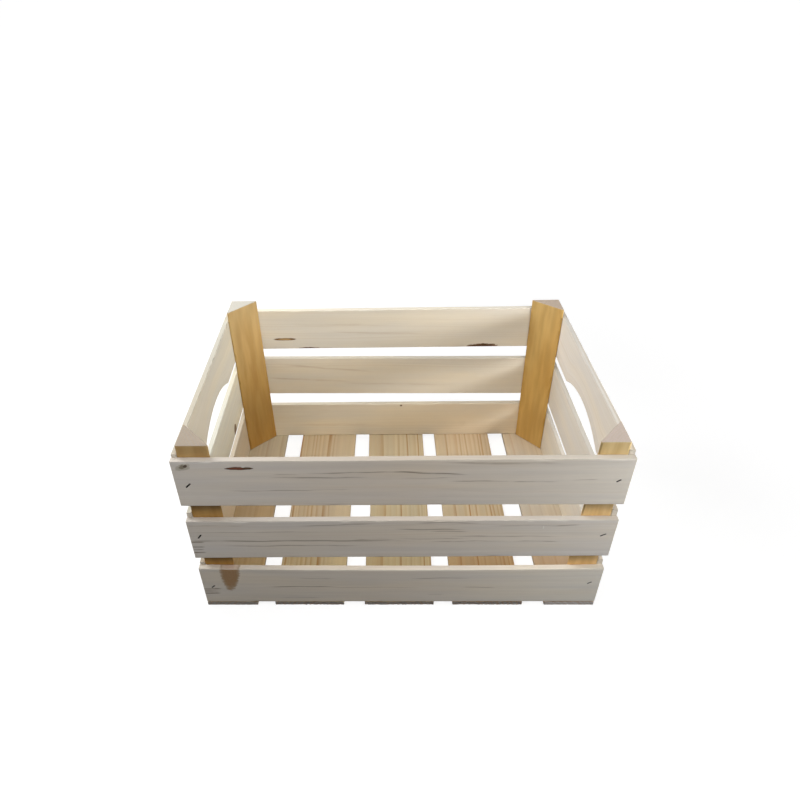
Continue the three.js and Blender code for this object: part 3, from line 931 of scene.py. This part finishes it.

# Boards. The pith is the middle of its log, across and out from its first corner, and the tints stand
# in percent at even steps along it; they hold the board's own tone with painted light and shade, such
# as floor boards darker towards the front wall. The edge shade is how much darker its ripped edges
# look, partly their own tone and partly painted shade on lit upper edges. Low and high are how far its
# edges lie inside the node's box at both ends, hollow is how far the upper edge sags in the middle,
# and a wane has a middle, a half length and a depth. A floor board's lower edge is its left one. Shown
# are the bare shares of its two staple crowns. Knots, pockets and bark have a middle and half sizes
# along, across and out in millimetres, widening and lean, how ragged, and core and rim. Strong lines
# of grain have a middle along and across, half length and half height in millimetres, slope and force
MM = 0.001
THROUGH = 1000
PLAIN = (0.0, 0.0)
BOARDS = {
    "front_bottom_slat": dict(
        pith=(0.03, -0.062), tints=[(96, 96, 98), (102, 100, 99), (106, 111, 118)],
        edge_shade=0.5, high=(0.0, 0.0012), hollow=0.0034, shown=(0.65, 0.6),
        knots=[
            ((45, 68, 9), (14, 38.5, THROUGH), (0.2, 0.25), 0.5, BROWN_KNOT),
            ((46, 82.5, 9), (15, 2.6, THROUGH), PLAIN, 0.3, PINK_BAND),
        ],
        lines=[
            (150, 38.8, 60, 1.2, 0, 0.95), (260, 37.5, 80, 0.9, 0, 0.4),
            (420, 37.2, 30, 1, 0, 0.6), (362, 61.2, 50, 1, 0, 0.7), (175, 60, 30, 0.9, 0, 0.45),
            (147, 11, 36, 1, 0, 0.45), (355, 20, 14, 1, 0, 0.5), (8, 31.6, 22, 1.5, 0.05, 1.6),
            (8, 26.2, 18, 1.4, 0, 1.6), (9, 21, 18, 1.5, 0, 1.6),
        ],
    ),
    "front_middle_slat": dict(
        pith=(-0.02, -0.04), tints=[(100, 102, 109), (100, 99, 101), (101, 104, 111)],
        edge_shade=0.8, low=(0.0, 0.003), shown=(0.85, 0.75),
        knots=[((499, 64, 9), (0.8, 3.8, 2), PLAIN, 0.4, PALE_NICK)],
        lines=[
            (142, 37, 190, 1.4, -0.005, 0.95), (146, 26.3, 110, 1.2, -0.004, 0.85),
            (37, 70.4, 55, 1, 0, 0.48), (211, 71.3, 60, 1.4, 0.045, 0.6),
            (90, 56.2, 110, 1, 0, 0.5), (265, 39.5, 35, 1.1, 0, 0.6),
            (365, 74.7, 50, 1.4, -0.02, 0.66), (342, 60.8, 55, 1.3, -0.02, 0.8),
            (370, 56, 30, 1.2, -0.02, 0.6), (450, 45.3, 85, 1.2, 0, 0.75),
            (345, 40.5, 60, 1.2, -0.01, 0.65), (400, 34.5, 65, 1.1, 0, 0.7),
            (492, 34.5, 36, 1.2, 0, 0.8), (485, 68, 70, 1, 0, 0.5), (533, 69, 20, 1, 0, 0.6),
            (6, 35, 16, 1.2, 0, 1.3), (6, 24.5, 14, 1.4, 0, 1.6), (6, 18.5, 12, 1.1, 0, 0.8),
            (7, 12.2, 13, 1.4, 0, 1.6),
        ],
    ),
    "front_top_slat": dict(
        pith=(0.052, -0.058), tints=[(110, 112, 119), (104, 101, 100), (101, 105, 113)],
        edge_shade=1.0, shown=(0.88, 0.55),
        knots=[
            ((16, 73.5, 9), (9.5, 6.5, THROUGH), (0, 0.4), 0.9, PALE_HALO),
            ((15, 74, 9), (4, 4.2, THROUGH), (0, 0.3), 1.3, GREY_KNOT),
            ((19.5, 75.5, 9), (2.7, 3, THROUGH), (0, 0.5), 0.9, DARK_KNOT),
            ((88.5, 70.6, 9), (17.8, 2.7, 3), PLAIN, 0.5, RESIN),
            ((99.8, 70.6, 9), (6.6, 1.9, 3), PLAIN, 0.6, OLD_RESIN),
            ((95, 73.4, 9), (3, 1.3, 3), PLAIN, 0.5, FLAKE),
        ],
        lines=[
            (192, 53.3, 70, 1.3, 0, 0.85), (255, 62.5, 85, 1.2, 0.01, 0.95),
            (337, 60.3, 55, 1.4, -0.075, 0.95), (337, 51.3, 40, 1.1, 0, 0.55),
            (405, 44.7, 45, 1.1, 0, 0.7), (475, 44, 34, 1.1, 0, 0.7), (541, 47, 20, 1, 0, 0.45),
            (132, 29.2, 75, 1.1, 0, 0.6), (205, 31.2, 30, 1.1, 0, 0.4),
            (430, 77.5, 85, 2.6, -0.02, 0.5), (150, 59, 20, 1, 0, 0.4),
        ],
    ),
    "right_bottom_end_board": dict(
        pith=(0.02, -0.06), tints=[(102, 106, 110)], edge_shade=0.3, high=(-0.003, -0.003),
    ),
    "right_middle_end_board": dict(
        pith=(0.07, -0.05), tints=[(93, 97, 103)], edge_shade=0.6, low=(-0.0035, -0.0035),
        high=(-0.0035, 0.0),
    ),
    "right_top_end_board": dict(
        pith=(-0.01, -0.06), tints=[(97, 100, 104), (105, 110, 120)], edge_shade=0.6,
        low=(-0.003, -0.0015), high=(-0.0038, 0.003),
    ),
    "back_bottom_slat": dict(
        pith=(0.06, 0.055), tints=[(112, 108, 99), (92, 89, 80), (113, 116, 113)], edge_shade=0.1,
        knots=[((286, 77, 0), (2.2, 2, 6), PLAIN, 0.4, PIN_KNOT)],
        lines=[(411, 27.4, 105, 4.5, 0.01, 0.25)],
    ),
    "back_middle_slat": dict(
        pith=(0.03, 0.045), tints=[(105, 106, 103), (102, 103, 100), (102, 103, 100)],
        edge_shade=0.1, low=(0.0, 0.006), high=(0.006, 0.0),
        lines=[
            (428, 65.6, 100, 2.8, 0.1, 0.45), (469, 36.8, 95, 2.8, 0.07, 0.45),
            (290, 25, 120, 3, 0.02, 0.3),
        ],
    ),
    "back_top_slat": dict(
        pith=(-0.02, 0.06), tints=[(107, 109, 108), (100, 102, 101), (101, 103, 102)],
        edge_shade=0.1,
        knots=[
            ((504, 21.2, 0), (22, 2.6, 4), PLAIN, 0.5, SPLIT),
            ((504, 21.2, 0), (12, 2.2, 4), PLAIN, 0.5, SPLIT_HEART),
            ((136, 1.5, 0), (29, 5.4, 5), PLAIN, 0.9, BARK_EDGE),
            ((461, 0, 0), (23, 2.8, 5), PLAIN, 0.9, BARK_EDGE),
        ],
        lines=[(334, 33, 100, 2.5, 0.03, 0.35), (400, 51, 95, 3, 0.013, 0.25)],
    ),
    "left_bottom_end_board": dict(
        pith=(0.05, 0.06), tints=[(92, 88, 80)], edge_shade=0.7,
    ),
    "left_middle_end_board": dict(
        pith=(0.01, 0.06), tints=[(106, 114, 115)], edge_shade=0.5, low=(-0.001, -0.001),
        knots=[((113.8, 7, 0), (9, 12.5, THROUGH), PLAIN, 0.5, EDGE_KNOT)],
    ),
    "left_top_end_board": dict(
        pith=(0.11, 0.05), tints=[(103, 109, 110), (93, 96, 97)], edge_shade=1.0,
        low=(-0.001, -0.005),
    ),
    "floor_board_left": dict(
        pith=(0.11, 0.06), tints=[(69, 64, 45), (73, 65, 51), (82, 89, 91)], edge_shade=0.15,
    ),
    "floor_board_mid_left": dict(
        pith=(0.1, 0.035), tints=[(75, 76, 61), (95, 95, 95), (93, 92, 89)], edge_shade=0.15,
        low=(0.0, 0.00475), high=(0.00775, 0.0),
    ),
    "floor_board_middle": dict(
        pith=(0.01, 0.04), tints=[(68, 66, 49), (82, 86, 84), (93, 96, 96)], edge_shade=0.15,
        low=(0.0, 0.00275), high=(0.00575, 0.0), wane=(0.188, 0.085, 0.0055),
    ),
    "floor_board_mid_right": dict(
        pith=(0.005, 0.03), tints=[(59, 45, 27), (80, 82, 82), (99, 97, 95)], edge_shade=0.15,
        low=(0.0, 0.0005), high=(0.0035, 0.0),
    ),
    "floor_board_right": dict(
        pith=(-0.03, 0.07), tints=[(64, 50, 35), (87, 94, 104), (108, 111, 113)], edge_shade=0.15,
    ),
}

# Kinds of wood: colours, ring width in metres, and shares of late wood, streaks, rings and roughness
FRONT_WOOD = dict(
    pale=SPRUCE, dark=SPRUCE_LATE, end=SPRUCE_END, ring_width=0.0042, late=0.22, streak=0.06,
    line_tone=LINE_TONE,
)
SIDE_WOOD = dict(
    pale=SPRUCE, dark=SPRUCE_LATE, end=PALE_END, ring_width=0.0042, late=0.20, streak=0.04,
    end_rings=0.1, end_rough=0.03, outer_grain=0.30,
)
INNER_FLOOR_WOOD = dict(
    pale=FLOOR, dark=FLOOR_LATE, end=FLOOR_END, ring_width=0.0070, late=1.25, streak=0.07,
    end_rough=0.25,
)
OUTER_FLOOR_WOOD = dict(
    pale=PINKISH_FLOOR, dark=FLOOR_LATE, ring_width=0.0060, late=0.35, streak=0.07,
)
POST_WOOD = dict(
    dark=GOLDEN_LATE, ring_width=0.0035, late=0.08, streak=0.03, end_rings=0.1, end_rough=0.03,
    mottle=0.11,
)
end_wood = sawn_wood("end_wood", **SIDE_WOOD)
floor_wood = sawn_wood("floor_wood", **INNER_FLOOR_WOOD)
left_floor_wood = sawn_wood("left_floor_wood", end=LEFT_FLOOR_END, **OUTER_FLOOR_WOOD)
right_floor_wood = sawn_wood("right_floor_wood", end=RIGHT_FLOOR_END, **OUTER_FLOOR_WOOD)
staple_steel = staple_wire()

# Walls: each side's boards run along its own axis, seen from outside from left to right

SIDES = {
    "front": ((1, 0, 0), "slat", ("left", "right")),
    "right": ((0, 1, 0), "end_board", ("front", "back")),
    "back": ((-1, 0, 0), "slat", ("right", "left")),
    "left": ((0, -1, 0), "end_board", ("back", "front")),
}
UP = (0, 0, 1)
seed = 100
for side, (run, kind, ends) in SIDES.items():
    for row in ("bottom", "middle", "top"):
        seed += 1
        node = f"{side}_{row}_{kind}"
        marks = {key: data for key, data in BOARDS[node].items() if key in ("knots", "lines")}
        shape = {key: data for key, data in BOARDS[node].items() if key not in marks}
        scoop = None
        if kind == "end_board" and row == "top":
            half_length = node_frame(node, run, UP)[2][0] / 2
            scoop = (half_length + SCOOP_SHIFT[side] * run[1], SCOOP_RISE[side])
        piece = board(
            node, run, UP, seed, "slat_wood" if kind == "slat" else "end_wood", scoop=scoop,
            staples=[f"{side}_{row}_staple_{end}" for end in ends], rough=WALL_ROUGH, **shape,
        )
        wood = end_wood
        if marks:
            sort = FRONT_WOOD if side == "front" else SIDE_WOOD
            wood = sawn_wood(node + "_wood", **sort, **marks)
        piece.data.materials.append(wood)

# Floor, with rougher ends on the inner boards

for place in ("left", "mid_left", "middle", "mid_right", "right"):
    seed += 1
    node = "floor_board_" + place
    inner = "mid" in place
    piece = board(
        node, (0, 1, 0), (1, 0, 0), seed, "floor_wood",
        staples=[f"floor_{place}_staple_{end}" for end in ("front", "back")],
        rough=INNER_FLOOR_ROUGH if inner else OUTER_FLOOR_ROUGH, **BOARDS[node],
    )
    outer_wood = left_floor_wood if place == "left" else right_floor_wood
    piece.data.materials.append(floor_wood if inner else outer_wood)

# Posts: golden wood, sawn ends, legs along both walls at foot and top, share of painted shade under
# the slats, and tints in percent from foot to top, which hold painted shade too, mostly darker at the
# foot

POSTS = {
    "front_left_post": (
        # this post's sawn end colour is darker as painted shade
        (0.60, 0.405, 0.155), (0.384, 0.324, 0.261), (0.0430, 0.0430), (0.0430, 0.0430), 0.45,
        [(92, 71, 46), (99, 82, 61), (97, 93, 101)],
    ),
    "front_right_post": (
        (0.81, 0.595, 0.285), (0.536, 0.452, 0.394), (0.0445, 0.0410), (0.0385, 0.0410), 0.25,
        [(109, 96, 85), (116, 106, 100), (91, 93, 95)],
    ),
    "back_right_post": (
        (0.75, 0.49, 0.165), (0.572, 0.468, 0.378), (0.0415, 0.0445), (0.0468, 0.0373), 0.30,
        [(98, 97, 95), (102, 98, 89), (105, 107, 116)],
    ),
    "back_left_post": (
        (0.66, 0.43, 0.145), (0.578, 0.556, 0.494), (0.0478, 0.0430), (0.0442, 0.0430), 0.30,
        [(80, 69, 53), (88, 84, 81), (104, 112, 148)],
    ),
}
for node, (golden, end, foot_legs, top_legs, under_slat_shade_share, tints) in POSTS.items():
    seed += 1
    wood = sawn_wood(node + "_wood", pale=golden, end=end, **POST_WOOD)
    post(node, seed, foot_legs, top_legs, under_slat_shade_share, tints).data.materials.append(wood)

for node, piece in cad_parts.items():
    if "staple" in node:
        piece.data.materials.clear()
        piece.data.materials.append(staple_steel)

# Stage: the floor's greys, how bright it glows from near to far, and its reach in metres

FLOOR_GREY = (0.15, 0.15, 0.15, 1.0)
FLOOR_PALE = (0.30, 0.30, 0.30, 1.0)
GLOW_FROM_TO = (0.5, 1.6)
GLOW = (0.82, 1.0)
FLOOR_REACH = 15.0
WHITE = (1.0, 1.0, 1.0, 1.0)


def studio_floor():
    """Floor: plain grey to the light that it throws back, and nearly white to the eye with the
    shadow kept."""
    material, tree = new_material("studio_floor")
    tree.nodes.clear()
    path = put(tree, "ShaderNodeLightPath").outputs
    seen = calc(tree, "MAXIMUM", path["Is Camera Ray"], path["Is Glossy Ray"])
    grey = put(tree, "ShaderNodeBsdfDiffuse", {"Color": FLOOR_GREY}).outputs[0]
    pale = put(tree, "ShaderNodeBsdfDiffuse", {"Color": FLOOR_PALE}).outputs[0]
    away = distance(tree, put(tree, "ShaderNodeTexCoord").outputs["Object"])
    strength = ramp(tree, away, *GLOW_FROM_TO, *GLOW)
    glow = put(tree, "ShaderNodeEmission", {"Strength": strength}).outputs[0]
    lit = put(tree, "ShaderNodeAddShader", {0: pale, 1: glow}).outputs[0]
    mix = put(tree, "ShaderNodeMixShader", {0: seen, 1: grey, 2: lit}).outputs[0]
    put(tree, "ShaderNodeOutputMaterial", {"Surface": mix})
    return material


sheet = bpy.data.meshes.new("floor")
square = [(-1, -1), (1, -1), (1, 1), (-1, 1)]
corners = [(FLOOR_REACH * x, FLOOR_REACH * y, 0) for x, y in square]
sheet.from_pydata(corners, [], [(0, 1, 2, 3)])
floor = bpy.data.objects.new("floor", sheet)
sheet.materials.append(studio_floor())
bpy.context.scene.collection.objects.link(floor)

# Lamps: name, place, the point that it looks at, side in metres, watts, and beam in degrees
DOME = 0.02
OPEN_BEAM = 180.0
NARROW_BEAM = 70.0
LAMPS = [
    ("key", (0.65, -0.65, 1.51), (0.0, 0.0, 0.2), 0.9, 6.66, OPEN_BEAM),
    ("top", (0.0, 0.0, 1.6), (0.0, 0.0, 0.1), 0.9, 5.1, OPEN_BEAM),
    ("left_back", (-0.8, 0.4, 0.9), (0.0, 0.0, 0.15), 0.6, 8.53, OPEN_BEAM),
    ("left_front", (-0.7, -0.7, 1.0), (0.0, 0.0, 0.15), 0.6, 3.8, OPEN_BEAM),
    ("far_right", (1.481, -0.539, 0.60), (0.0, 0.0, 0.2), 0.6, 1.98, OPEN_BEAM),
    ("over_right_end", (0.85, -0.36, 0.467), (-0.1, 0.19, 0.27), 0.16, 0.699, NARROW_BEAM),
    ("front_right", (0.75, -0.60, 0.20), (0.32, -0.20, 0.10), 0.25, 0.14, NARROW_BEAM),
]


def studio_world(strength):
    """World: even soft light from all round, and white to the eye."""
    world = bpy.data.worlds.new("studio")
    world.use_nodes = True
    tree = world.node_tree
    tree.nodes.clear()
    seen = put(tree, "ShaderNodeLightPath").outputs["Is Camera Ray"]
    dome = put(tree, "ShaderNodeBackground", {"Color": WHITE, "Strength": strength}).outputs[0]
    white = put(tree, "ShaderNodeBackground", {"Color": WHITE, "Strength": 1.0}).outputs[0]
    mix = put(tree, "ShaderNodeMixShader", {0: seen, 1: dome, 2: white}).outputs[0]
    put(tree, "ShaderNodeOutputWorld", {"Surface": mix})
    bpy.context.scene.world = world


def softbox(name, place, aim, size, watts, spread):
    """A square area lamp at a place, turned towards a point, whose beam spreads over an angle in
    degrees."""
    lamp = bpy.data.lights.new(name, "AREA")
    lamp.shape = "SQUARE"
    lamp.size = size
    lamp.energy = watts
    lamp.spread = math.radians(spread)
    box = bpy.data.objects.new(name, lamp)
    turn = (Vector(aim) - Vector(place)).to_track_quat("-Z", "Y")
    box.matrix_world = Matrix.Translation(place) @ turn.to_matrix().to_4x4()
    bpy.context.scene.collection.objects.link(box)


studio_world(DOME)
for lamp in LAMPS:
    softbox(*lamp)


# Camera


def add_camera():
    """Camera with the pitch, yaw and roll of the photograph: forward first, then right and down
    turned by the roll."""
    forward = Vector((
        math.sin(CAMERA_YAW) * math.cos(CAMERA_PITCH),
        math.cos(CAMERA_YAW) * math.cos(CAMERA_PITCH),
        -math.sin(CAMERA_PITCH),
    ))
    level = Vector((math.cos(CAMERA_YAW), -math.sin(CAMERA_YAW), 0.0))
    plumb = forward.cross(level)
    right = math.cos(CAMERA_ROLL) * level + math.sin(CAMERA_ROLL) * plumb
    down = math.cos(CAMERA_ROLL) * plumb - math.sin(CAMERA_ROLL) * level
    lens = bpy.data.cameras.new("camera")
    lens.sensor_width = CAMERA_SENSOR
    lens.lens = CAMERA_LENS
    lens.shift_x, lens.shift_y = CAMERA_SHIFT
    camera = bpy.data.objects.new("camera", lens)
    turn = Matrix((right, -down, -forward)).transposed()
    camera.matrix_world = Matrix.Translation(CAMERA_PLACE) @ turn.to_4x4()
    bpy.context.scene.collection.objects.link(camera)
    bpy.context.scene.camera = camera


add_camera()
bpy.context.scene.view_settings.view_transform = "Standard"
